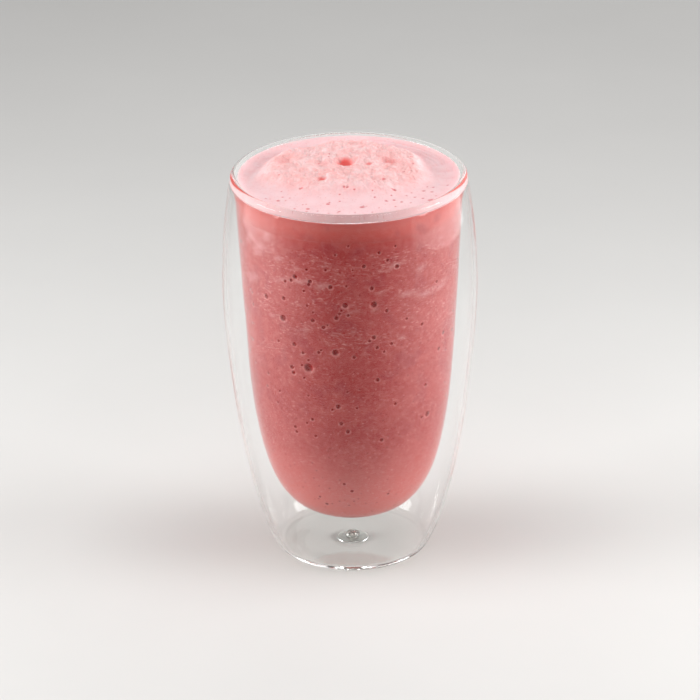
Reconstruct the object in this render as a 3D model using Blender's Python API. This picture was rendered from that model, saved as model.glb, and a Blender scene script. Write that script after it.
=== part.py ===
"""A strawberry smoothie in a tall double-walled glass.

The glass is blown from two vessels that are melted together at the rim. Air lies between them, and the small
hole in the base that the air came out by is closed by a clear plug. The drink fills the inner vessel: the smoothie
itself up to FROTH_BOTTOM, and on it a layer of froth that rises into a rough mound.

The origin is the centre of the base on the table, with +Z up and -Y towards the front. Sizes are in
millimetres, and mesh points are written in metres.
"""

import functools
import math
import random

import bmesh
import bpy
from mathutils import Vector, noise

MM = 0.001
GAP = 0.3  # air left between two solids that touch

# The glass
HEIGHT = 147.0
RIM_RADIUS = 43.0  # outside
RIM_THICKNESS = 3.0  # of the rounded bead where the two walls meet
BEAD_HEIGHT = HEIGHT - RIM_THICKNESS / 2  # of the bead's middle
BEAD_INSIDE = RIM_RADIUS - RIM_THICKNESS
BELLY_RADIUS = 46.6
BELLY_HEIGHT = 104.0
FOOT_RADIUS = 29.1  # where the outer wall starts to turn into the base
FOOT_HEIGHT = 2.6
FOOT_FLAT_RADIUS = 25.8
OUTER_WALL = 1.6
INNER_WALL = 1.8
BASE_THICKNESS = 2.0
INNER_FLOOR = 15.3  # underside of the inner vessel above the table
INNER_MIDDLE = (37.9, 80.0)  # radius and height where the inner vessel's bowl runs out into its wall
INNER_TOP = (41.0, 143.6)  # outside of the inner vessel, just under the rim

# The hole in the base and its plug
VENT_RADIUS = 1.8
RECESS_RADIUS = 5.8
RECESS_DEPTH = 0.9
PLUG_FLANGE = 0.5
PLUG_HEAD_RADIUS = 2.7
PLUG_HEAD_HEIGHT = 1.5

# The drink
FROTH_BOTTOM = 135.5
FROTH_WAVE = 0.45  # how far the froth's underside strays up and down
FROTH_EDGE = 146.1  # where the froth ends on the glass
FROTH_DIP = 144.4  # the valley between the glass and the mound
EDGE_WIDTH = 2.3  # over which the froth sinks from the glass to the valley
MOUND_CENTRE = (-1.2, 4.5)
MOUND_RADII = (33.2, 30.0)  # across and from front to back
MOUND_RISE = 3.3
BACK_SHOULDER = 0.16  # share of the radius over which the mound's side rises
FRONT_SHOULDER = 0.53
CRAG_SIZE = 5.0
CRAG_HEIGHT = 0.75

# Hollows and lumps of the mound: x, y, radius, and the height of a lump, or less than 0 for a hollow
FROTH_FORMS = (
    (-1.3, 9.0, 3.6, -3.0),
    (-1.3, 13.2, 3.6, 0.5),
    (-9.6, -6.6, 2.5, -0.7),
    (7.4, 7.0, 2.2, -0.7),
    (-9.5, 7.0, 4.5, -0.35),
    (-23.1, 11.5, 4.5, -0.4),
    (5.0, -1.0, 4.2, 0.8),
    (6.2, 30.0, 3.0, 0.8),
    (15.0, 9.0, 5.0, -0.5),
)

# Air bubbles against the glass: angle from the front in degrees to the right, height and diameter
FRONT_BUBBLES = (
    (-23.9, 85.4, 3.3),
    (-8.4, 92.6, 2.4),
    (12.3, 111.3, 2.4),
    (-2.7, 111.4, 2.1),
    (-38.6, 103.2, 2.5),
    (-10.2, 118.4, 1.7),
    (12.4, 98.2, 1.7),
    (-7.5, 70.8, 1.8),
    (-34.5, 84.3, 1.7),
    (14.7, 81.1, 1.6),
    (11.2, 117.7, 1.6),
    (-2.2, 60.5, 1.6),
)
OTHER_BUBBLES = 20
BUBBLE_DIAMETERS = (1.3, 2.6)

SEGMENTS = 56
PLUG_SEGMENTS = 24
FROTH_RINGS = 21


def clear_scene():
    for obj in list(bpy.data.objects):
        bpy.data.objects.remove(obj)


def material(name, colour, roughness, transmission=0.0, ior=1.45):
    """A Principled material, clear where transmission is 1."""
    made = bpy.data.materials.new(name)
    made.use_nodes = True
    made.diffuse_color = (*colour, 1.0 - 0.65 * transmission)
    shader = made.node_tree.nodes["Principled BSDF"]
    shader.inputs["Base Color"].default_value = (*colour, 1.0)
    shader.inputs["Roughness"].default_value = roughness
    shader.inputs["Metallic"].default_value = 0.0
    shader.inputs["Transmission Weight"].default_value = transmission
    shader.inputs["IOR"].default_value = ior
    return made


def bezier(start, handle_a, handle_b, end, steps):
    """Points (radius, height) along a cubic curve, its start left out and its end kept."""
    points = []
    for i in range(1, steps + 1):
        t = i / steps
        weights = ((1 - t) ** 3, 3 * t * (1 - t) ** 2, 3 * t * t * (1 - t), t**3)
        corners = (start, handle_a, handle_b, end)
        points.append(tuple(sum(w * c[axis] for w, c in zip(weights, corners)) for axis in (0, 1)))
    return points


def arc(centre, radius, first_deg, last_deg, steps):
    """Points (radius, height) round a centre, both ends kept."""
    angles = [math.radians(first_deg + (last_deg - first_deg) * i / steps) for i in range(steps + 1)]
    return [(centre[0] + radius * math.cos(a), centre[1] + radius * math.sin(a)) for a in angles]


def beside(outline, distance):
    """The outline moved to its left by distance, as the other face of a wall."""
    moved = []
    for i, (r, z) in enumerate(outline):
        before = outline[max(i - 1, 0)]
        after = outline[min(i + 1, len(outline) - 1)]
        along = Vector((after[0] - before[0], after[1] - before[1])).normalized()
        moved.append((max(r - distance * along.y, 0.0), z + distance * along.x))
    return moved


def inner_vessel():
    """Outside of the inner vessel, from the middle of its rounded bottom up to just under the rim."""
    bottom = (0.0, INNER_FLOOR)
    bowl = bezier(bottom, (19.5, INNER_FLOOR), (34.05, INNER_FLOOR - 0.7), INNER_MIDDLE, 9)
    wall = bezier(INNER_MIDDLE, (39.1, 100.0), (40.6, 122.0), INNER_TOP, 4)
    return [bottom, *bowl, *wall]


def outer_wall():
    """Outside of the outer wall, from the foot up to the rim's bead."""
    foot = (FOOT_RADIUS, FOOT_HEIGHT)
    belly = (BELLY_RADIUS, BELLY_HEIGHT)
    lower = bezier(foot, (40.8, 23.6), (BELLY_RADIUS, 85.7), belly, 8)
    upper = bezier(belly, (BELLY_RADIUS, 118.0), (45.4, 134.0), (RIM_RADIUS, BEAD_HEIGHT), 5)
    return [foot, *lower, *upper]


@functools.cache
def drinking_face():
    """Inside of the inner vessel, which the drink lies against, from its middle up to the rim's bead."""
    face = beside(inner_vessel(), INNER_WALL)
    return [*face[:-1], (BEAD_INSIDE - 0.5, BEAD_HEIGHT - 3.2), (BEAD_INSIDE, BEAD_HEIGHT)]


def glass_outline():
    """The whole section of the glass, from the axis inside, over the rim, under the base and up the hollow."""
    bead = arc((RIM_RADIUS - RIM_THICKNESS / 2, BEAD_HEIGHT), RIM_THICKNESS / 2, 180, 0, 6)
    outside = outer_wall()
    foot = bezier(outside[0], (28.2, 0.9), (27.6, 0.0), (FOOT_FLAT_RADIUS, 0.0), 3)
    recess = [(RECESS_RADIUS + 0.5, 0.0), (RECESS_RADIUS, RECESS_DEPTH)]
    vent = [(VENT_RADIUS, RECESS_DEPTH), (VENT_RADIUS, BASE_THICKNESS)]
    vessel = inner_vessel()
    hollow_wall = [p for p in beside(outside, OUTER_WALL) if 3.0 < p[1] < vessel[-1][1] - 0.5]
    hollow_edge = (25.0, BASE_THICKNESS)
    hollow_corner = bezier(hollow_edge, (26.6, BASE_THICKNESS), (27.2, 2.3), hollow_wall[0], 3)
    hollow_floor = [hollow_edge, *hollow_corner[:-1]]
    hollow_top = arc((vessel[-1][0] + 0.34, vessel[-1][1]), 0.34, 0, 180, 2)
    return [
        *drinking_face()[:-1],
        *bead,
        *reversed(outside[:-1]),
        *foot,
        *recess,
        *vent,
        *hollow_floor,
        *hollow_wall,
        *hollow_top,
        *reversed(vessel[:-1]),
    ]


def spun(name, outline, segments, finish):
    """A solid turned from an outline in millimetres whose two ends lie on the axis."""
    shape = bmesh.new()
    corners = [shape.verts.new((r * MM, 0.0, z * MM)) for r, z in outline]
    edges = [shape.edges.new(pair) for pair in zip(corners, corners[1:])]
    bmesh.ops.spin(
        shape,
        geom=corners + edges,
        cent=(0, 0, 0),
        axis=(0, 0, 1),
        angle=math.tau,
        steps=segments,
        use_merge=True,
        use_duplicate=False,
    )
    bmesh.ops.remove_doubles(shape, verts=shape.verts, dist=0.001 * MM)
    bmesh.ops.recalc_face_normals(shape, faces=shape.faces)
    mesh = bpy.data.meshes.new(name)
    shape.to_mesh(mesh)
    shape.free()
    mesh.shade_smooth()
    mesh.set_sharp_from_angle(angle=math.radians(40))
    mesh.materials.append(finish)
    obj = bpy.data.objects.new(name, mesh)
    bpy.context.scene.collection.objects.link(obj)
    return obj


def face_radius(height):
    """Radius of the glass's inside at a height above its bowl."""
    face = drinking_face()
    for (r0, z0), (r1, z1) in zip(face, face[1:]):
        if z0 <= height <= z1:
            return r0 + (r1 - r0) * (height - z0) / (z1 - z0)
    return face[-1][0]


def smooth(value):
    """0 below 0, 1 above 1, and an even rise between them."""
    value = min(max(value, 0.0), 1.0)
    return value * value * (3 - 2 * value)


def froth_underside(x, y):
    """Height of the border between froth and smoothie."""
    turn = math.atan2(y, x)
    share = min(math.hypot(x, y) / RIM_RADIUS, 1.0)
    return FROTH_BOTTOM + FROTH_WAVE * share * (math.sin(3 * turn + 0.7) + 0.6 * math.sin(5 * turn + 2.1))


def froth_surface(x, y):
    """Height of the froth's top: pulled up at the glass, with a rough mound standing in it."""
    radius = math.hypot(x, y)
    to_glass = face_radius(FROTH_EDGE) - radius
    height = FROTH_DIP + (FROTH_EDGE - FROTH_DIP) * math.exp(-max(to_glass, 0.0) / EDGE_WIDTH)
    across = (x - MOUND_CENTRE[0]) / MOUND_RADII[0]
    along = (y - MOUND_CENTRE[1]) / MOUND_RADII[1]
    turn = math.atan2(along, across)
    share = math.hypot(across, along) * (1 + 0.04 * math.sin(3 * turn + 1.0) + 0.03 * math.sin(7 * turn))
    front = smooth(0.5 - 0.5 * math.sin(turn))
    inside = smooth((1 - share) / (BACK_SHOULDER + (FRONT_SHOULDER - BACK_SHOULDER) * front * front))
    height += MOUND_RISE * inside * (0.85 + 0.15 * max(1 - share * share, 0.0))
    crag = noise.fractal(Vector((x, y, 3.0)) / CRAG_SIZE, 0.9, 2.1, 3)
    height += inside * CRAG_HEIGHT * crag
    for form_x, form_y, reach, rise in FROTH_FORMS:
        off = math.hypot(x - form_x, y - form_y) / reach
        height += rise * math.exp(-1.6 * off * off)
    return height


def make_glass(finish):
    return spun("glass", glass_outline(), SEGMENTS, finish)


def make_vent_plug(finish):
    """A clear plug: a flange in the base's recess, a stem through the hole, and a head in the hollow."""
    flange_top = RECESS_DEPTH - GAP
    stem = VENT_RADIUS - GAP
    flange = RECESS_RADIUS - GAP
    head_bottom = BASE_THICKNESS + GAP
    outline = [
        (0.0, flange_top - PLUG_FLANGE),
        (flange - 0.3, flange_top - PLUG_FLANGE),
        (flange, flange_top - PLUG_FLANGE + 0.3),
        (flange, flange_top),
        (stem, flange_top),
        (stem, head_bottom),
        (PLUG_HEAD_RADIUS, head_bottom),
        (PLUG_HEAD_RADIUS - 0.3, head_bottom + 0.6),
        (PLUG_HEAD_RADIUS - 1.3, head_bottom + PLUG_HEAD_HEIGHT),
        (0.0, head_bottom + PLUG_HEAD_HEIGHT),
    ]
    return spun("vent_plug", outline, PLUG_SEGMENTS, finish)


def bubble_places():
    """Angle, height and diameter of every air bubble that lies against the glass."""
    draw = random.Random(7)
    places = list(FRONT_BUBBLES)
    for i in range(OTHER_BUBBLES):
        angle = 45.0 + 270.0 * (i + 0.5) / OTHER_BUBBLES + draw.uniform(-5.0, 5.0)
        places.append((angle, draw.uniform(50.0, 128.0), draw.uniform(*BUBBLE_DIAMETERS)))
    return places


def make_smoothie(finish):
    """The drink below the froth, a gap clear of the glass, with pits where air bubbles lie against the glass."""
    face = beside(drinking_face(), GAP)
    side = [p for p in face if p[1] < FROTH_BOTTOM - 4.0]
    top_radius = face_radius(FROTH_BOTTOM) - GAP
    top = [(top_radius * i / 4, FROTH_BOTTOM - GAP) for i in range(4, -1, -1)]
    smoothie = spun("smoothie", [*side, *top], SEGMENTS, finish)
    for vertex in smoothie.data.vertices:
        x, y, z = (c / MM for c in vertex.co)
        if z > FROTH_BOTTOM - 2.0:
            vertex.co.z = (froth_underside(x, y) - GAP) * MM
    pits = bpy.data.collections.new("bubble_pits")
    bpy.context.scene.collection.children.link(pits)
    for i, (angle, height, diameter) in enumerate(bubble_places()):
        turn = math.radians(angle - 90.0)
        out = face_radius(height) - GAP
        shape = bmesh.new()
        bmesh.ops.create_icosphere(shape, subdivisions=1, radius=diameter / 2 * MM)
        mesh = bpy.data.meshes.new(f"pit_{i}")
        shape.to_mesh(mesh)
        shape.free()
        pit = bpy.data.objects.new(f"pit_{i}", mesh)
        pit.location = (out * math.cos(turn) * MM, out * math.sin(turn) * MM, height * MM)
        pit.hide_render = True
        pit.display_type = "WIRE"
        pits.objects.link(pit)
    cut = smoothie.modifiers.new("bubble pits", "BOOLEAN")
    cut.operation = "DIFFERENCE"
    cut.solver = "EXACT"
    cut.operand_type = "COLLECTION"
    cut.collection = pits
    return smoothie


def make_froth(finish):
    """The froth: a layer on the smoothie whose top is the mound, its crags and hollows."""
    bottom_radius = face_radius(FROTH_BOTTOM) - GAP
    edge_radius = face_radius(FROTH_EDGE) - GAP
    under = [(bottom_radius * i / 4, FROTH_BOTTOM) for i in range(5)]
    middle = (FROTH_BOTTOM + FROTH_EDGE) / 2
    side = [(face_radius(middle) - GAP, middle)]
    over = [(edge_radius * i / FROTH_RINGS, FROTH_EDGE) for i in range(FROTH_RINGS, -1, -1)]
    froth = spun("froth", [*under, *side, *over], SEGMENTS, finish)
    for vertex in froth.data.vertices:
        x, y, z = (c / MM for c in vertex.co)
        if z < FROTH_BOTTOM + 1.0:
            vertex.co.z = froth_underside(x, y) * MM
        elif z > FROTH_EDGE - 1.0:
            vertex.co.z = froth_surface(x, y) * MM
    return froth


def main():
    clear_scene()
    clear_glass = material("borosilicate glass", (0.96, 0.98, 0.97), 0.02, transmission=1.0, ior=1.47)
    clear_plug = material("clear silicone", (0.90, 0.90, 0.88), 0.25, transmission=0.8, ior=1.41)
    drink = material("strawberry smoothie", (0.78, 0.27, 0.27), 0.45)
    foam = material("strawberry froth", (0.93, 0.58, 0.60), 0.60)
    make_glass(clear_glass)
    make_vent_plug(clear_plug)
    make_smoothie(drink)
    make_froth(foam)


main()
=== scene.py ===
import math
import random

import bmesh
import bpy
import numpy as np
from mathutils import Matrix, Vector, noise


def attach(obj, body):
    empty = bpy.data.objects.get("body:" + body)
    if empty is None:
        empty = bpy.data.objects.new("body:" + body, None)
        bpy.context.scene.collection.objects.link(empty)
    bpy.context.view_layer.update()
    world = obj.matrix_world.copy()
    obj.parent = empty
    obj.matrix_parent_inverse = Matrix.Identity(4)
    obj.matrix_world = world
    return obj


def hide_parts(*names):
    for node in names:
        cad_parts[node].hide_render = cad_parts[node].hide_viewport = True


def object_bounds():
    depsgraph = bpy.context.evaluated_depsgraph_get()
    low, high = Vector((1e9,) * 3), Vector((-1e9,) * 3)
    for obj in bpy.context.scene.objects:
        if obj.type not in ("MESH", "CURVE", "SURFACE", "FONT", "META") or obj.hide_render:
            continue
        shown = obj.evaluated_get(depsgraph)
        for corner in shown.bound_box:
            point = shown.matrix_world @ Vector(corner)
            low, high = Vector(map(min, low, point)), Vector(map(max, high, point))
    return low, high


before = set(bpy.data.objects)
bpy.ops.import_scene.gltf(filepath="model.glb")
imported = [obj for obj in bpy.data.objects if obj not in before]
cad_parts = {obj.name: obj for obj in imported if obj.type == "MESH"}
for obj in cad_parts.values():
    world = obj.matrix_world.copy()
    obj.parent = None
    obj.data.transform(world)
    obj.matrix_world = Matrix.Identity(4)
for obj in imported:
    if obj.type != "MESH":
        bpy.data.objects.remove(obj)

solids_box = [list(corner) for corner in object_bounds()]

# The camera stands in front of the glass with a long lens and looks down on the froth. It leans by less
# than a degree, so the glass seems to lean the other way.
MM = 0.001
look_at = Vector((0.0, 0.0, 77.05 * MM))
camera_distance = 1.600
camera_elevation = math.radians(23.52)
camera_lean = math.radians(0.68)

camera_data = bpy.data.cameras.new("camera")
camera_data.sensor_width = 36.0
camera_data.lens = 223.8
camera_data.shift_x = -0.0011
camera_data.clip_end = 30.0
camera = bpy.data.objects.new("camera", camera_data)
towards_camera = Vector((0.0, -math.cos(camera_elevation), math.sin(camera_elevation)))
camera.location = look_at + camera_distance * towards_camera
looking_down = Matrix.Rotation(math.pi / 2 - camera_elevation, 3, "X")
leaning = Matrix.Rotation(-camera_lean, 3, "Z")
camera.rotation_euler = (looking_down @ leaning).to_euler()
bpy.context.scene.collection.objects.link(camera)
bpy.context.scene.camera = camera
bpy.context.scene.view_settings.view_transform = "Standard"


# The light: a wide softbox stands close on each side of the glass with a stronger lamp behind it, a long one
# hangs overhead, and a large faint one stands behind on the right. The room itself is dim, so that the front
# of the glass stays darker than its sides.
def softbox(name, place, aim, width, height, radiance):
    """An area light that faces aim, with its long way upright, as bright all over as radiance says."""
    light = bpy.data.lights.new(name, "AREA")
    light.shape = "RECTANGLE"
    light.size = width
    light.size_y = height
    light.energy = radiance * math.pi * width * height
    lamp = bpy.data.objects.new(name, light)
    lamp.location = place
    lamp.rotation_euler = (Vector(place) - Vector(aim)).to_track_quat("Z", "Y").to_euler()
    lamp.visible_camera = False
    bpy.context.scene.collection.objects.link(lamp)


softbox("softbox_left", (-0.42, 0.0, 0.26), (0.0, 0.0, 0.22), 0.34, 0.46, 1.3)
softbox("softbox_right", (0.37, -0.06, 0.215), (0.0, -0.20, 0.195), 0.52, 0.34, 1.15)
softbox("lamp_left", (-0.79, -0.11, 0.31), (0.0, 0.0, 0.10), 0.40, 0.30, 11.2)
softbox("lamp_right", (0.79, -0.11, 0.31), (0.0, 0.0, 0.10), 0.40, 0.30, 10.8)
softbox("softbox_above", (0.0, -0.06, 1.15), (0.0, 0.0, 0.10), 0.90, 0.34, 6.0)
softbox("softbox_behind", (0.75, 1.10, 0.45), (0.0, 0.0, 0.12), 2.00, 0.90, 0.8)

room = bpy.data.worlds.new("room")
room.use_nodes = True
room.node_tree.nodes["Background"].inputs["Color"].default_value = (1.0, 0.99, 0.98, 1.0)
room.node_tree.nodes["Background"].inputs["Strength"].default_value = 0.17
bpy.context.scene.world = room


# The floor is a large sheet of pale matt paper, a hair below the glass that stands on it. Its fibres give
# it a faint tooth, and its tone is a little uneven.
class Wire:
    """A value in a finish's node tree. Maths on it adds Math nodes."""

    def __init__(self, finish, socket):
        self.finish = finish
        self.socket = socket

    def maths(self, operation, *values):
        return self.finish.add("ShaderNodeMath", {"operation": operation}, dict(enumerate(values)))

    def larger(self, other):
        return self.maths("MAXIMUM", self, other)

    def smaller(self, other):
        return self.maths("MINIMUM", self, other)

    def __add__(self, other):
        return self.maths("ADD", self, other)

    def __sub__(self, other):
        return self.maths("SUBTRACT", self, other)

    def __rsub__(self, other):
        return self.maths("SUBTRACT", other, self)

    def __mul__(self, other):
        return self.maths("MULTIPLY", self, other)

    __radd__ = __add__
    __rmul__ = __mul__

    def rise(self, low, high):
        """0 below low, 1 above high, with a soft rise between them, or a fall where low is the larger."""
        settings = {"interpolation_type": "SMOOTHSTEP"}
        limits = {"Value": self, "From Min": low, "From Max": high}
        return self.finish.add("ShaderNodeMapRange", settings, limits)


class Finish:
    """A material with one Principled shader, whose nodes are added by name."""

    def __init__(self, name):
        self.material = bpy.data.materials.new(name)
        self.material.use_nodes = True
        self.tree = self.material.node_tree
        self.shader = self.tree.nodes["Principled BSDF"]

    def feed(self, node, values):
        for name, value in values.items():
            if isinstance(value, Wire):
                self.tree.links.new(value.socket, node.inputs[name])
            else:
                node.inputs[name].default_value = value

    def add(self, kind, settings, values, output=0):
        node = self.tree.nodes.new(kind)
        for name, value in settings.items():
            setattr(node, name, value)
        self.feed(node, values)
        return Wire(self, node.outputs[output])

    def place(self):
        """Where the surface point lies, in millimetres."""
        metres = self.add("ShaderNodeTexCoord", {}, {}, "Object")
        return self.add("ShaderNodeVectorMath", {"operation": "SCALE"}, {0: metres, "Scale": 1 / MM})

    def stretched(self, place, across, upward):
        """The place with its level ways and its height scaled apart."""
        scales = (across, across, upward)
        return self.add("ShaderNodeVectorMath", {"operation": "MULTIPLY"}, {0: place, 1: scales})

    def grain(self, place, size, detail=2.0, roughness=0.5):
        """Cloudy noise with lumps of about size millimetres."""
        values = {"Vector": place, "Scale": 1 / size, "Detail": detail, "Roughness": roughness}
        return self.add("ShaderNodeTexNoise", {}, values)

    def mix(self, factor, first, second):
        """From the first colour, where factor is 0, to the second."""
        return self.add("ShaderNodeMix", {"data_type": "RGBA"}, {0: factor, 6: first, 7: second}, 2)

    def bump(self, height, depth, under=None):
        """A normal raised by height, whose whole range is depth millimetres."""
        values = {"Height": height, "Strength": 1.0, "Distance": depth * MM}
        if under:
            values["Normal"] = under
        return self.add("ShaderNodeBump", {}, values)


def tint(red, green, blue):
    """A colour given as a screen shows it, in 0 to 255, for a shader."""
    shares = [value / 255 for value in (red, green, blue)]
    return (*(s / 12.92 if s <= 0.04045 else ((s + 0.055) / 1.055) ** 2.4 for s in shares), 1.0)


paper = Finish("pale_paper")
paper_place = paper.place()
paper_cloud = paper.grain(paper_place, 90.0, 3.0)
paper_fibre = paper.grain(paper_place, 0.8, 2.0)
paper.feed(paper.shader, {
    "Base Color": paper.mix(paper_cloud, tint(217, 216, 214), tint(223, 222, 220)),
    "Roughness": 0.85 + 0.1 * paper_fibre,
    "Normal": paper.bump(paper_fibre, 0.02),
})
bpy.ops.mesh.primitive_plane_add(size=12.0, location=(0.0, 0.0, -0.25 * MM))
floor = bpy.context.object
floor.name = "floor"
floor.data.materials.append(paper.material)


# The glass is blown from clear borosilicate: an inner vessel that holds the drink hangs inside a rounder
# outer wall, and both are melted together into a fire-polished bead at the rim. Air fills the space between.
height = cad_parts["glass"].dimensions.z / MM
rim_radius = 43.0
rim_thickness = 3.0
bead_height = height - rim_thickness / 2
bead_inside = rim_radius - rim_thickness
belly_radius = solids_box[1][0] / MM - 0.01
belly_height = 104.0
foot = (29.1, 2.6)
foot_flat = (25.8, 0.0)
outer_wall_thickness = 1.6
inner_wall_thickness = 1.8
base_thickness = 2.0
vent_radius = 1.8
recess_radius = 5.8
recess_depth = 0.9
recess_lip = (recess_radius + 0.5, 0.1)
hollow_start = 3.2
hollow_tip_radius = 0.34
glass_segments = 192


def bezier(start, handle_a, handle_b, end, steps):
    """Points (radius, height) along a cubic curve, its start left out and its end kept."""
    share = np.linspace(0.0, 1.0, steps + 1)[1:, None]
    corners = [np.array(corner) for corner in (start, handle_a, handle_b, end)]
    weights = ((1 - share) ** 3, 3 * share * (1 - share) ** 2, 3 * share**2 * (1 - share), share**3)
    return [tuple(point) for point in sum(w * c for w, c in zip(weights, corners))]


def arc(centre, radius, first_degrees, last_degrees, steps):
    """Points (radius, height) round a centre, both ends kept."""
    turns = np.radians(np.linspace(first_degrees, last_degrees, steps + 1))
    return [(centre[0] + radius * math.cos(t), centre[1] + radius * math.sin(t)) for t in turns]


def beside(outline, distance):
    """The outline moved to its left by distance, as the other face of a wall."""
    points = np.array(outline)
    along = np.gradient(points, axis=0)
    along /= np.linalg.norm(along, axis=1)[:, None]
    moved = points + distance * np.stack([-along[:, 1], along[:, 0]], axis=1)
    moved[:, 0] = np.maximum(moved[:, 0], 0.0)
    return [tuple(point) for point in moved]


def turned(name, outline, segments):
    """A mesh turned from an outline in millimetres whose two ends lie on the axis."""
    rings = np.array(outline[1:-1]) * MM
    turns = np.linspace(0.0, math.tau, segments, endpoint=False)
    level = np.stack([np.cos(turns), np.sin(turns)], axis=1)
    points = np.concatenate([
        np.concatenate([radius * level, np.full((segments, 1), z)], axis=1) for radius, z in rings
    ])
    ends = [(0.0, 0.0, outline[0][1] * MM), (0.0, 0.0, outline[-1][1] * MM)]
    first_end = len(points)
    last_row = (len(rings) - 1) * segments
    faces = []
    for i in range(segments):
        j = (i + 1) % segments
        faces.append((first_end, j, i))
        faces += [(row + i, row + j, row + segments + j, row + segments + i)
                  for row in range(0, last_row, segments)]
        faces.append((last_row + i, last_row + j, first_end + 1))
    mesh = bpy.data.meshes.new(name)
    mesh.from_pydata([*points.tolist(), *ends], [], faces)
    shape = bmesh.new()
    shape.from_mesh(mesh)
    bmesh.ops.recalc_face_normals(shape, faces=shape.faces)
    shape.to_mesh(mesh)
    shape.free()
    return mesh


def piece(name, mesh, finish, sharp_degrees):
    """An object of the mesh with its finish, smooth but for edges sharper than sharp_degrees."""
    mesh.shade_smooth()
    mesh.set_sharp_from_angle(angle=math.radians(sharp_degrees))
    mesh.materials.append(finish.material)
    made = bpy.data.objects.new(name, mesh)
    bpy.context.scene.collection.objects.link(made)
    return made


inner_bottom = (0.0, 15.3)
inner_middle = (37.9, 80.0)
inner_top = (41.0, 143.6)
inner_vessel = [
    inner_bottom,
    *bezier(inner_bottom, (19.5, 15.3), (34.05, 14.6), inner_middle, 60),
    *bezier(inner_middle, (39.1, 100.0), (40.6, 122.0), inner_top, 30),
]
belly = (belly_radius, belly_height)
outer_wall = [
    foot,
    *bezier(foot, (40.8, 23.6), (belly_radius, 85.7), belly, 44),
    *bezier(belly, (belly_radius, 118.0), (45.4, 134.0), (rim_radius, bead_height), 30),
]
drinking_face = beside(inner_vessel, inner_wall_thickness)
face_top = bezier(drinking_face[-3], (39.35, 142.0), (bead_inside, 144.0), (bead_inside, bead_height), 8)
bead = arc((rim_radius - rim_thickness / 2, bead_height), rim_thickness / 2, 180, 0, 24)
drinking_face = [*drinking_face[:-2], *face_top]
hollow_wall = beside(outer_wall, outer_wall_thickness)
hollow_wall = [point for point in hollow_wall if hollow_start < point[1] < inner_top[1] - 0.5]
hollow_edge = (25.0, base_thickness)
glass_outline = [
    *drinking_face[:-1],
    *bead,
    *reversed(outer_wall[:-1]),
    *bezier(foot, (28.2, 0.9), (27.6, 0.0), foot_flat, 12),
    *bezier(foot_flat, (18.0, 0.15), (12.0, 0.15), recess_lip, 4),
    *bezier(recess_lip, (recess_radius, 0.1), (recess_radius, 0.2), (recess_radius, 0.4), 3),
    (recess_radius, recess_depth),
    (vent_radius, recess_depth),
    (vent_radius, base_thickness),
    hollow_edge,
    *bezier(hollow_edge, (26.6, base_thickness), (27.2, 2.3), hollow_wall[0], 10),
    *hollow_wall[1:],
    *arc((inner_top[0] + hollow_tip_radius, inner_top[1]), hollow_tip_radius, 0, 180, 8),
    *reversed(inner_vessel[:-1]),
]

clear = Finish("clear_glass")
clear_place = clear.place()
clear.feed(clear.shader, {
    "Base Color": (1.0, 1.0, 1.0, 1.0),
    "Transmission Weight": 1.0,
    "IOR": 1.47,
    "Specular Tint": (0.25, 0.25, 0.25, 1.0),
    "Roughness": 0.012 * clear.grain(clear_place, 16.0).rise(0.45, 0.75),
    "Normal": clear.bump(clear.grain(clear.stretched(clear_place, 1.0, 0.35), 14.0, 1.0), 0.10),
})
lights_through = clear.add("ShaderNodeLightPath", {}, {}, "Is Shadow Ray")
lights_through = lights_through.larger(clear.add("ShaderNodeLightPath", {}, {}, "Is Diffuse Ray"))
lights_through = lights_through.larger(clear.add("ShaderNodeLightPath", {}, {}, "Ray Depth").rise(4.0, 5.0))
let_through = clear.add("ShaderNodeBsdfTransparent", {}, {"Color": tint(250, 251, 250)})
seen = Wire(clear, clear.shader.outputs["BSDF"])
clear_surface = clear.add("ShaderNodeMixShader", {}, {0: lights_through, 1: seen, 2: let_through})
clear.feed(clear.tree.nodes["Material Output"], {"Surface": clear_surface})

glass = piece("double_walled_glass", turned("double_walled_glass", glass_outline, glass_segments), clear, 40)
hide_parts("glass")
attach(glass, "root")


# The vent plug is a small button of clear silicone. It is pushed from below into the hole in the base that
# the air came out by, and its flange lies in a shallow recess.
plug_gap = 0.1
plug_face = 0.15
plug_crown = 3.8
plug_segments = 64
flange_middle = (recess_radius - 0.5, 0.45)
flange_round = 0.3
flange_top = recess_depth - plug_gap
stem_radius = vent_radius - plug_gap
button_edge = (2.5, base_thickness + plug_gap)
plug_outline = [
    (0.0, plug_face),
    *bezier((0.0, plug_face), (3.0, plug_face), (4.6, plug_face), (flange_middle[0], plug_face), 8),
    *arc(flange_middle, flange_round, -90, 90, 8)[1:],
    (stem_radius, flange_top),
    (stem_radius, button_edge[1]),
    button_edge,
    *bezier(button_edge, (3.0, 2.7), (2.2, plug_crown), (0.0, plug_crown), 10),
]
silicone = Finish("clear_silicone")
silicone_place = silicone.place()
silicone_cloud = silicone.grain(silicone_place, 2.0)
silicone.feed(silicone.shader, {
    "Base Color": silicone.mix(silicone_cloud, tint(232, 232, 228), tint(244, 244, 241)),
    "Transmission Weight": 0.85,
    "IOR": 1.41,
    "Roughness": 0.12 + 0.1 * silicone_cloud,
    "Normal": silicone.bump(silicone.grain(silicone_place, 0.6), 0.03),
})
plug = piece("vent_button", turned("vent_button", plug_outline, plug_segments), silicone, 40)
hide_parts("vent_plug")
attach(plug, "root")


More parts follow.
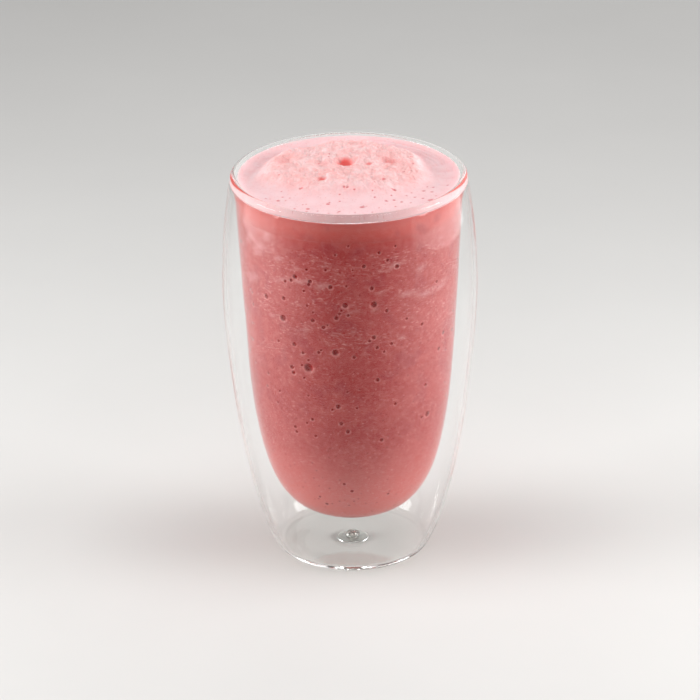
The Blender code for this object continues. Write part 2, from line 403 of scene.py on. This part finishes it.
# The smoothie fills the inner vessel and wets its wall, so its skin lies a hair inside the glass. Air bubbles
# press against the glass as small round pits, dark with painted shade, and streaks of paler foam are drawn
# out round the wall. Painted light makes the drink lighter towards the bottom and just under the froth.
froth_bottom = 135.5
wet_depth = 0.06
lid_height = froth_bottom + 0.8
shaped_up_to = froth_bottom + 0.5
bowl_height = 24.0
pit_depth = 0.45
halo_reach = 2.0
side_segments = 200
side_step = 1.25
front_bubbles = (
    (-23.9, 85.4, 3.3),
    (-8.4, 92.6, 2.4),
    (12.3, 111.3, 2.4),
    (-2.7, 111.4, 2.1),
    (-38.6, 103.2, 2.5),
    (-10.2, 118.4, 1.7),
    (12.4, 98.2, 1.7),
    (-7.5, 70.8, 1.8),
    (-34.5, 84.3, 1.7),
    (14.7, 81.1, 1.6),
    (11.2, 117.7, 1.6),
    (-2.2, 60.5, 1.6),
)
back_bubbles = 20
back_specks = 110
front_specks = (
    (-29.6, 120.8, 1.8), (-35.9, 118.2, 1.3), (-32.0, 119.1, 1.3), (-21.1, 119.9, 1.6), (-21.8, 118.6, 1.3),
    (-2.0, 118.9, 1.0), (-37.4, 111.2, 1.6), (-24.8, 115.8, 1.1), (-22.8, 124.4, 1.1), (-12.6, 125.0, 1.2),
    (-4.8, 109.3, 1.1), (-5.7, 108.0, 1.2), (-1.2, 107.4, 1.2), (-7.4, 106.3, 1.6), (-20.3, 104.6, 1.5),
    (-14.5, 102.3, 1.5), (-12.3, 103.3, 0.9), (-32.1, 93.8, 1.7), (-42.9, 93.3, 1.2), (-17.6, 92.1, 1.3),
    (-16.2, 93.1, 0.9), (-26.9, 91.0, 1.2), (1.7, 90.8, 1.3), (-20.1, 107.8, 0.9), (-23.4, 110.2, 1.0),
    (-23.8, 88.4, 1.1), (-28.0, 85.9, 1.0), (-33.6, 82.2, 1.5), (-26.9, 81.0, 1.1), (-53.2, 78.3, 1.2),
    (-55.0, 72.9, 1.2), (-44.5, 72.9, 1.1), (-23.1, 64.5, 1.3), (-26.8, 62.6, 1.0), (-35.0, 59.9, 1.3),
    (-34.5, 57.9, 1.2), (-6.0, 63.8, 1.5), (-24.9, 74.0, 0.9), (-46.8, 67.9, 0.9), (-11.0, 69.4, 1.0),
    (-21.8, 57.7, 1.2), (7.1, 126.5, 1.5), (19.5, 128.0, 1.2), (24.9, 125.0, 1.7), (19.4, 108.2, 1.3),
    (23.7, 133.0, 1.0), (15.0, 131.3, 1.2), (51.9, 114.2, 1.2), (1.4, 125.1, 0.7), (31.3, 103.5, 1.0),
    (41.8, 99.5, 1.3), (10.1, 96.9, 1.2), (14.3, 94.0, 1.3), (22.5, 94.8, 1.2), (18.3, 92.0, 1.0),
    (46.6, 74.2, 1.3), (25.6, 70.2, 1.2), (3.1, 70.2, 1.0), (45.2, 61.3, 1.1), (57.0, 86.4, 1.5),
    (-2.3, 76.8, 0.9), (4.4, 77.7, 0.7), (-0.3, 34.3, 1.3), (-20.7, 27.2, 1.3), (-5.5, 37.6, 1.2),
    (-24.9, 30.4, 1.0), (17.8, 56.1, 1.5), (26.9, 31.2, 1.0), (-0.8, 134.5, 1.0), (-7.4, 131.0, 1.0),
)
smears = (
    (31.0, 113.4, 9.0, 1.1),
    (46.0, 111.6, 10.0, 1.6),
    (57.0, 112.2, 8.0, 2.0),
    (-38.0, 118.6, 9.0, 1.0),
    (-25.0, 119.6, 8.0, 1.1),
    (-14.5, 118.6, 6.0, 1.2),
    (24.0, 125.6, 7.0, 1.4),
    (-62.0, 114.8, 8.0, 2.2),
    (12.9, 109.0, 3.6, 0.8),
    (-24.0, 101.0, 4.5, 1.0),
    (-55.0, 127.0, 7.0, 3.0),
    (-47.0, 134.0, 4.0, 2.4),
    (-62.0, 130.0, 6.0, 2.6),
    (-41.0, 126.0, 6.0, 1.0),
    (-50.0, 119.0, 5.0, 0.8),
    (-14.0, 126.2, 6.0, 0.6),
    (-31.0, 123.6, 8.0, 0.6),
    (4.0, 101.4, 5.0, 0.6),
    (-46.0, 103.0, 5.0, 0.7),
    (17.0, 116.0, 6.0, 0.8),
    (0.3, 108.6, 5.0, 0.6),
    (39.0, 122.0, 5.0, 0.8),
    (15.0, 138.4, 2.6, 0.9),
    (-27.5, 90.3, 3.0, 0.6),
    (28.0, 96.4, 7.0, 0.5),
    (110.0, 114.0, 12.0, 1.6),
    (150.0, 119.0, 14.0, 1.2),
    (-120.0, 116.0, 12.0, 1.5),
    (-160.0, 112.0, 10.0, 1.2),
    (175.0, 104.0, 8.0, 0.8),
)
face_points = np.array([*drinking_face, *bead[1:9]])


def smooth(value):
    """0 below 0, 1 above 1, and an even rise between them."""
    value = min(max(value, 0.0), 1.0)
    return value * value * (3 - 2 * value)


def face_radius(z):
    """Radius of the glass's inside at height z, both in millimetres."""
    return float(np.interp(z, face_points[:, 1], face_points[:, 0]))


def bubble_places():
    """Centre on the wall and radius of every air bubble, in millimetres, from angle, height and diameter."""
    draw = random.Random(7)
    bubbles = [*front_bubbles, *front_specks]
    for step in range(back_bubbles):
        angle = 45.0 + 270.0 * (step + 0.5) / back_bubbles + draw.uniform(-5.0, 5.0)
        bubbles.append((angle, draw.uniform(50.0, 128.0), draw.uniform(1.3, 2.6)))
    for _ in range(back_specks):
        angle = draw.uniform(60.0, 300.0)
        bubbles.append((angle, draw.triangular(24.0, 132.0, 96.0), draw.triangular(0.6, 1.5, 0.9)))
    places = []
    for angle, z, diameter in bubbles:
        turn = math.radians(angle - 90.0)
        radius = face_radius(z) + wet_depth
        places.append((Vector((radius * math.cos(turn), radius * math.sin(turn), z)), diameter / 2))
    return places


def refine_round(shape, bubbles):
    """Splits the faces round each bubble until they are fine enough for its rim."""
    for _ in range(4):
        coarse = set()
        for face in shape.faces:
            middle = face.calc_center_median() / MM
            size = math.sqrt(face.calc_area()) / MM
            for centre, radius in bubbles:
                if abs(centre.z - middle.z) > 3.0 * radius + 1.0 or size < radius / 3.2:
                    continue
                if (middle - centre).length < 1.5 * radius + size:
                    coarse.update(face.edges)
                    break
        if not coarse:
            return
        bmesh.ops.subdivide_edges(shape, edges=list(coarse), cuts=1, use_grid_fill=True)


def smear_at(turn, z):
    """0 to 1, how strongly a drawn-out streak of paler foam shows at this angle and height."""
    strongest = 0.0
    for angle, level, half_width, half_height in smears:
        across = (turn - angle) / half_width
        along = (z - level - 0.6 * math.sin(0.35 * (turn - angle))) / half_height
        strongest = max(strongest, math.exp(-across * across - along * along))
    return strongest


def bubble_at(here, bubbles):
    """Depth of a bubble's pit at this point, then 0 to 1 how far inside the pit and the halo round it."""
    in_halo = 0.0
    for centre, reach in bubbles:
        if abs(centre.z - here.z) > halo_reach * reach:
            continue
        off = (here - centre).length / reach
        if off < 1.0:
            return reach * pit_depth * math.sqrt(1 - off * off), min(1.0, 1.6 * (1 - off)), in_halo
        if off < halo_reach:
            ring = 1.0 - abs(off - 1.25) / 0.6
            below = 0.3 + 0.7 * smooth(0.5 - (here.z - centre.z) / reach)
            in_halo = max(in_halo, ring * below)
    return 0.0, 0.0, in_halo


def smoothie_mesh():
    """The drink's skin from the bottom of the vessel up, with a lid that lies inside the froth."""
    side = [point for point in beside(drinking_face, -wet_depth) if point[1] < lid_height]
    rows = [side[0]]
    for point in side[1:]:
        if math.dist(point, rows[-1]) > side_step:
            rows.append(point)
    lid = [(radius, lid_height) for radius in (face_radius(lid_height) - 0.2, 20.0, 0.0)]
    mesh = turned("smoothie_body", [*rows, *lid], side_segments)
    bubbles = bubble_places()
    shape = bmesh.new()
    shape.from_mesh(mesh)
    refine_round(shape, bubbles)
    pit = shape.verts.layers.float.new("pit")
    halo = shape.verts.layers.float.new("halo")
    smear = shape.verts.layers.float.new("smear")
    for vertex in shape.verts:
        x, y, z = vertex.co / MM
        if z > shaped_up_to:
            continue
        radius = math.hypot(x, y)
        if z > bowl_height and radius > 0:
            wall = (face_radius(z) + wet_depth) / radius
            x, y = x * wall, y * wall
        here = Vector((x, y, z))
        depth, vertex[pit], vertex[halo] = bubble_at(here, bubbles)
        vertex[smear] = smear_at(math.degrees(math.atan2(x, -y)), z)
        vertex.co = (here - depth * Vector((x, y, 0.0)).normalized()) * MM
    shape.to_mesh(mesh)
    shape.free()
    return mesh


def drink_side(finish, place):
    """Colour of the drink against the glass: clouds, drawn-out foam, pale specks, seeds, and painted light
    low down and under the froth.
    """
    level = finish.add("ShaderNodeSeparateXYZ", {}, {0: place}, "Z")
    cloud = finish.grain(place, 16.0, 3.0, 0.55)
    ragged = finish.grain(finish.stretched(place, 1.0, 3.0), 4.0, 4.0, 0.65)
    smear = finish.add("ShaderNodeAttribute", {"attribute_name": "smear"}, {}, "Fac")
    smear = (smear * (0.25 + 1.5 * ragged)).rise(0.15, 1.05)
    patches = finish.grain(finish.stretched(place, 1.0, 2.2), 14.0, 2.0).rise(0.42, 0.62)
    streaks = finish.grain(finish.stretched(place, 1.0, 4.0), 5.0, 5.0, 0.7).rise(0.54, 0.68)
    dashes = finish.grain(finish.stretched(place, 1.0, 3.0), 1.5, 2.5, 0.6).rise(0.54, 0.70)
    foamy = level.rise(64.0, 112.0) * level.rise(134.0, 128.0)
    calm = level.rise(136.0, 130.0)
    foam = streaks * patches * foamy * 0.4 + dashes * (0.35 + 0.65 * patches) * (0.45 + 0.55 * foamy) * 0.7
    specks = finish.add("ShaderNodeTexVoronoi", {}, {"Vector": place, "Scale": 0.55}, "Distance")
    foam = (foam + 0.35 * specks.rise(0.20, 0.12)) * calm
    body = finish.mix(cloud.rise(0.32, 0.7), tint(186, 63, 62), tint(195, 79, 78))
    # Painted light: the drink grows lighter towards the bottom, as if lit from the pale floor below.
    body = finish.mix(level.rise(60.0, 23.0), body, tint(227, 117, 112))
    # Painted light: a lighter, redder band just under the froth, as if lit from above through the froth.
    body = finish.mix(level.rise(131.0, 141.0), body, tint(220, 101, 95))
    cooler = finish.grain(place, 9.0, 2.0).rise(0.52, 0.66) * level.rise(45.0, 85.0)
    body = finish.mix(0.4 * cooler, body, tint(172, 60, 70))
    mottle = finish.grain(place, 2.2, 4.0, 0.75)
    body = finish.mix(0.3 * mottle.rise(0.40, 0.70), body, tint(220, 132, 130))
    colour = finish.mix(foam.smaller(0.8), body, tint(228, 162, 160))
    colour = finish.mix(0.4 * smear, colour, tint(226, 166, 166))
    seeds = finish.add("ShaderNodeTexVoronoi", {}, {"Vector": place, "Scale": 0.34}, "Distance")
    return finish.mix(0.6 * seeds.rise(0.15, 0.09) * calm, colour, tint(160, 40, 38))


def drink_haze(finish):
    """How milky the wet glass in front of the drink looks: clear head-on, dull where the wall turns away."""
    turned_away = finish.add("ShaderNodeLayerWeight", {}, {"Blend": 0.5}, "Facing")
    return turned_away.rise(0.03, 0.13) * turned_away.rise(0.34, 0.14)


drink = Finish("strawberry_smoothie")
drink_place = drink.place()
in_pit = drink.add("ShaderNodeAttribute", {"attribute_name": "pit"}, {}, "Fac")
in_halo = drink.add("ShaderNodeAttribute", {"attribute_name": "halo"}, {}, "Fac")
drink_colour = drink_side(drink, drink_place)
drink_colour = drink.mix(0.45 * in_halo.rise(0.1, 0.9), drink_colour, tint(230, 152, 150))
# Painted shade: the bubble pits are filled with dark red, the shade that falls inside them.
drink_colour = drink.mix(0.92 * in_pit.rise(0.0, 0.4), drink_colour, tint(158, 12, 11))
wet_pulp = {
    "Specular IOR Level": 0.0,
    "Coat IOR": 1.6,
    "Coat Roughness": 0.55,
    "Subsurface Weight": 0.4,
    "Subsurface Radius": (1.0, 0.45, 0.40),
    "Subsurface Scale": 2.7 * MM,
}
drink.feed(drink.shader, {
    **wet_pulp,
    "Base Color": drink_colour,
    "Roughness": 0.5 + 0.2 * drink.grain(drink_place, 3.0),
    "Coat Weight": (1.0 - 0.9 * in_pit) * drink_haze(drink),
})
smoothie = piece("smoothie_body", smoothie_mesh(), drink, 50)
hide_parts("smoothie")
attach(smoothie, "root")


# The froth stands on the smoothie up to the brim: a pale, smooth edge where it climbs the glass, a shallow
# valley inside it, and in the middle a rough mound of icy foam with hollows, lumps and small burst bubbles.
# Painted shade darkens the crease behind the mound and the valleys of the wrinkles beside it.
froth_edge = 146.1
froth_dip = 144.4
froth_wave = 0.45
edge_width = 2.3
mound_centre = (-1.2, 4.5)
mound_radii = (33.2, 30.0)
mound_rise = 3.3
back_shoulder = 0.16
front_shoulder = 0.53
crag_size = 5.0
crag_height = 0.75
ice_size = 1.7
ice_height = 0.32
wrinkle_height = 0.12
noise_slice = 3.0
froth_forms = (
    (-1.3, 9.0, 3.6, -3.0),
    (-1.3, 13.2, 3.6, 0.5),
    (-9.6, -6.6, 2.5, -0.7),
    (7.4, 7.0, 2.2, -0.7),
    (-9.5, 7.0, 4.5, -0.35),
    (-23.1, 11.5, 4.5, -0.4),
    (5.0, -1.0, 4.2, 0.8),
    (6.2, 30.0, 3.0, 0.8),
    (15.0, 9.0, 5.0, -0.5),
)
froth_grid = 286
froth_top_limit = solids_box[1][2] / MM - 0.02
burst_bubbles = (
    (-25.3, -20.5, 0.85),
    (-14.6, -28.6, 0.90),
    (-7.5, -24.0, 0.95),
    (4.6, -27.3, 1.05),
    (5.6, -35.0, 0.70),
    (28.9, -22.3, 1.00),
    (16.2, -14.0, 0.95),
    (26.9, -12.4, 0.80),
    (12.7, -7.3, 0.80),
    (-17.2, -12.3, 0.90),
)
all_bursts = 75
burst_depth = 0.5
burst_field = 37.0
burst_column = 2.0
skirt_rows = 12


def burst_places():
    """Place and radius of the burst bubbles, most of them in the smooth foam at the front."""
    draw = random.Random(11)
    places = list(burst_bubbles)
    while len(places) < all_bursts:
        x, y = draw.uniform(-burst_field, burst_field), draw.uniform(-burst_field, burst_field)
        front = smooth((2.0 - y) / 16.0)
        if math.hypot(x, y) < burst_field + 0.5 and draw.random() < 0.12 + 0.88 * front:
            places.append((x, y, draw.triangular(0.35, 0.75, 0.40)))
    return places


def wrinkle_at(here):
    """From -2 to 2: fine ripples at the back on the right and creases at the right, beside the mound."""
    bearing = math.degrees(math.atan2(here.y, here.x))
    from_axis = math.hypot(here.x, here.y)
    ripples = smooth(1.5 - abs(bearing - 55.0) / 28.0)
    ripples *= math.sin(3.4 * from_axis + 2.0 * noise.noise(here / 9.0))
    creases = smooth(1.5 - abs(bearing - 5.0) / 24.0)
    creases *= math.sin(0.55 * bearing + 0.15 * from_axis)
    return ripples + creases


def lump_at(x, y):
    """How far lumps and hollows lift the froth, in millimetres, and 0 to 1 how deep in a hollow it is."""
    lift = hollow = 0.0
    for form_x, form_y, reach, rise in froth_forms:
        off = math.hypot(x - form_x, y - form_y) / reach
        lift += rise * math.exp(-1.6 * off * off)
        if rise < 0:
            off = math.hypot(x - form_x, y - form_y - 0.25 * reach) / reach
            hollow = max(hollow, math.exp(-1.6 * off * off) * min(1.0, -rise / 1.2))
    return lift, hollow


def burst_at(x, y, bursts):
    """How deep burst bubbles cut into the froth, in millimetres, and 0 to 1 how near the middle of one is."""
    cut = burst = 0.0
    for burst_x, burst_y, reach in bursts:
        off = math.hypot(x - burst_x, y - burst_y) / reach
        if off < 1.0:
            cut += burst_depth * reach * (1 - off * off) ** 1.5
            burst = max(burst, 1 - off * off)
    return cut, burst


def froth_point(x, y, bursts):
    """Height of the froth's top; 0 to 1 how icy and how deep in a hollow; burst bubbles and painted crease
    shade.
    """
    here = Vector((x, y, noise_slice))
    to_glass = max(face_radius(froth_edge) - math.hypot(x, y), 0.0)
    across = (x - mound_centre[0]) / mound_radii[0]
    along = (y - mound_centre[1]) / mound_radii[1]
    turn = math.atan2(along, across)
    share = math.hypot(across, along) * (1 + 0.04 * math.sin(3 * turn + 1.0) + 0.03 * math.sin(7 * turn))
    ragged = share + 0.05 * noise.fractal(here / 3.0, 0.8, 2.1, 3)
    front = smooth(0.5 - 0.5 * math.sin(turn))
    shoulder = back_shoulder + (front_shoulder - back_shoulder) * front * front
    inside = smooth((1 - share) / shoulder)
    icy = smooth((1.02 - ragged) / (0.10 + 0.3 * front)) * smooth((y + 27.0) / 22.0)
    fold = smooth(1 - abs(ragged - 1.02) / 0.05) * (1 - front)
    wrinkle = smooth((share - 1.0) / 0.06) * smooth((to_glass - 0.6) / 1.5) * wrinkle_at(here)
    lift, hollow = lump_at(x, y)
    cut, burst = burst_at(x, y, bursts)
    top = froth_dip + (froth_edge - froth_dip) * math.exp(-to_glass / edge_width)
    top += inside * mound_rise * (0.85 + 0.15 * max(1 - share * share, 0.0))
    top += inside * crag_height * noise.fractal(here / crag_size, 0.9, 2.1, 3)
    top += icy * ice_height * noise.fractal(here / ice_size, 0.5, 2.1, 5)
    top += 0.05 * noise.noise(here / 2.5) + wrinkle_height * wrinkle + lift - cut
    # The last value joins the burst bubbles with painted shade along the crease behind the mound and in the
    # wrinkle valleys.
    return min(top, froth_top_limit), icy, hollow, max(0.22 * fold, -0.15 * wrinkle, burst)


def froth_underside(x, y):
    """Height of the border between froth and smoothie."""
    turn = math.atan2(y, x)
    share = min(math.hypot(x, y) / rim_radius, 1.0)
    return froth_bottom + froth_wave * share * (math.sin(3 * turn + 0.7) + 0.6 * math.sin(5 * turn + 2.1))


def froth_mesh():
    """A fine disc for the top, a skirt down the glass and an underside."""
    shape = bmesh.new()
    bmesh.ops.create_grid(shape, x_segments=froth_grid, y_segments=froth_grid, size=1.0)
    edge_radius = face_radius(froth_edge) + wet_depth
    icy_layer = shape.verts.layers.float.new("icy")
    hollow_layer = shape.verts.layers.float.new("hollow")
    burst_and_crease_shade_layer = shape.verts.layers.float.new("burst")
    bursts = burst_places()
    columns = {}
    for burst in bursts:
        for step in (-1, 0, 1):
            columns.setdefault(round(burst[0] / burst_column) + step, []).append(burst)
    for vertex in shape.verts:
        u, v, _ = vertex.co
        longer = max(abs(u), abs(v))
        stretch = longer / math.hypot(u, v) if longer else 0.0
        x, y = u * stretch * edge_radius, v * stretch * edge_radius
        near = columns.get(round(x / burst_column), ())
        z, icy, hollow, burst = froth_point(x, y, near)
        vertex.co = Vector((x, y, z)) * MM
        vertex[icy_layer] = icy
        vertex[hollow_layer] = hollow
        vertex[burst_and_crease_shade_layer] = burst
    rim = [edge for edge in shape.edges if edge.is_boundary]
    for row in range(1, skirt_rows + 1):
        made = bmesh.ops.extrude_edge_only(shape, edges=rim)["geom"]
        rim = [part for part in made if isinstance(part, bmesh.types.BMEdge) and part.is_boundary]
        for vertex in [part for part in made if isinstance(part, bmesh.types.BMVert)]:
            x, y, _ = vertex.co / MM
            low = froth_underside(x, y)
            z = froth_edge + (low - froth_edge) * (row / skirt_rows) ** 1.5
            wall = (face_radius(z) + wet_depth + 0.01) / math.hypot(x, y)
            vertex.co = Vector((x * wall, y * wall, z)) * MM
    bmesh.ops.contextual_create(shape, geom=rim)
    bmesh.ops.recalc_face_normals(shape, faces=shape.faces)
    mesh = bpy.data.meshes.new("froth_head")
    shape.to_mesh(mesh)
    shape.free()
    return mesh


foam = Finish("strawberry_froth")
foam_place = foam.place()
foam_level = foam.add("ShaderNodeSeparateXYZ", {}, {0: foam_place}, "Z")
icy = foam.add("ShaderNodeAttribute", {"attribute_name": "icy"}, {}, "Fac")
hollow = foam.add("ShaderNodeAttribute", {"attribute_name": "hollow"}, {}, "Fac")
burst = foam.add("ShaderNodeAttribute", {"attribute_name": "burst"}, {}, "Fac")
blotch = foam.grain(foam_place, 6.0, 3.0, 0.6)
crystals = foam.grain(foam_place, 0.55, 3.0, 0.65)
pores = foam.add("ShaderNodeTexVoronoi", {}, {"Vector": foam_place, "Scale": 0.75}, "Distance")
pores = pores.rise(0.24, 0.12)
foam_colour = foam.mix(blotch.rise(0.3, 0.7), tint(244, 199, 202), tint(247, 207, 210))
mound_colour = foam.mix(blotch.rise(0.38, 0.66), tint(247, 182, 180), tint(250, 203, 203))
mound_colour = foam.mix(0.4 * crystals.rise(0.48, 0.66), mound_colour, tint(253, 219, 217))
foam_colour = foam.mix(0.9 * icy, foam_colour, mound_colour)
foam_colour = foam.mix(0.9 * hollow.rise(0.08, 0.75), foam_colour, tint(236, 92, 86))
foam_colour = foam.mix(0.35 * pores, foam_colour, tint(222, 140, 142))
# Painted shade as well as burst bubbles: the same darker pink fills the crease behind the mound and the
# wrinkle valleys.
foam_colour = foam.mix(0.7 * burst.rise(0.0, 0.6), foam_colour, tint(220, 110, 114))
on_side = foam_level.rise(143.6, 142.8)
foam_colour = foam.mix(on_side, foam_colour, drink_side(foam, foam_place))
foam.feed(foam.shader, {
    **wet_pulp,
    "Base Color": foam_colour,
    "Roughness": 0.55 - 0.2 * crystals,
    "Coat Weight": on_side * drink_haze(foam) + 0.2 * (1 - on_side),
    "Normal": foam.bump(crystals * (0.25 + 0.75 * icy), 0.16),
})
froth = piece("froth_head", froth_mesh(), foam, 60)
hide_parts("froth")
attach(froth, "root")
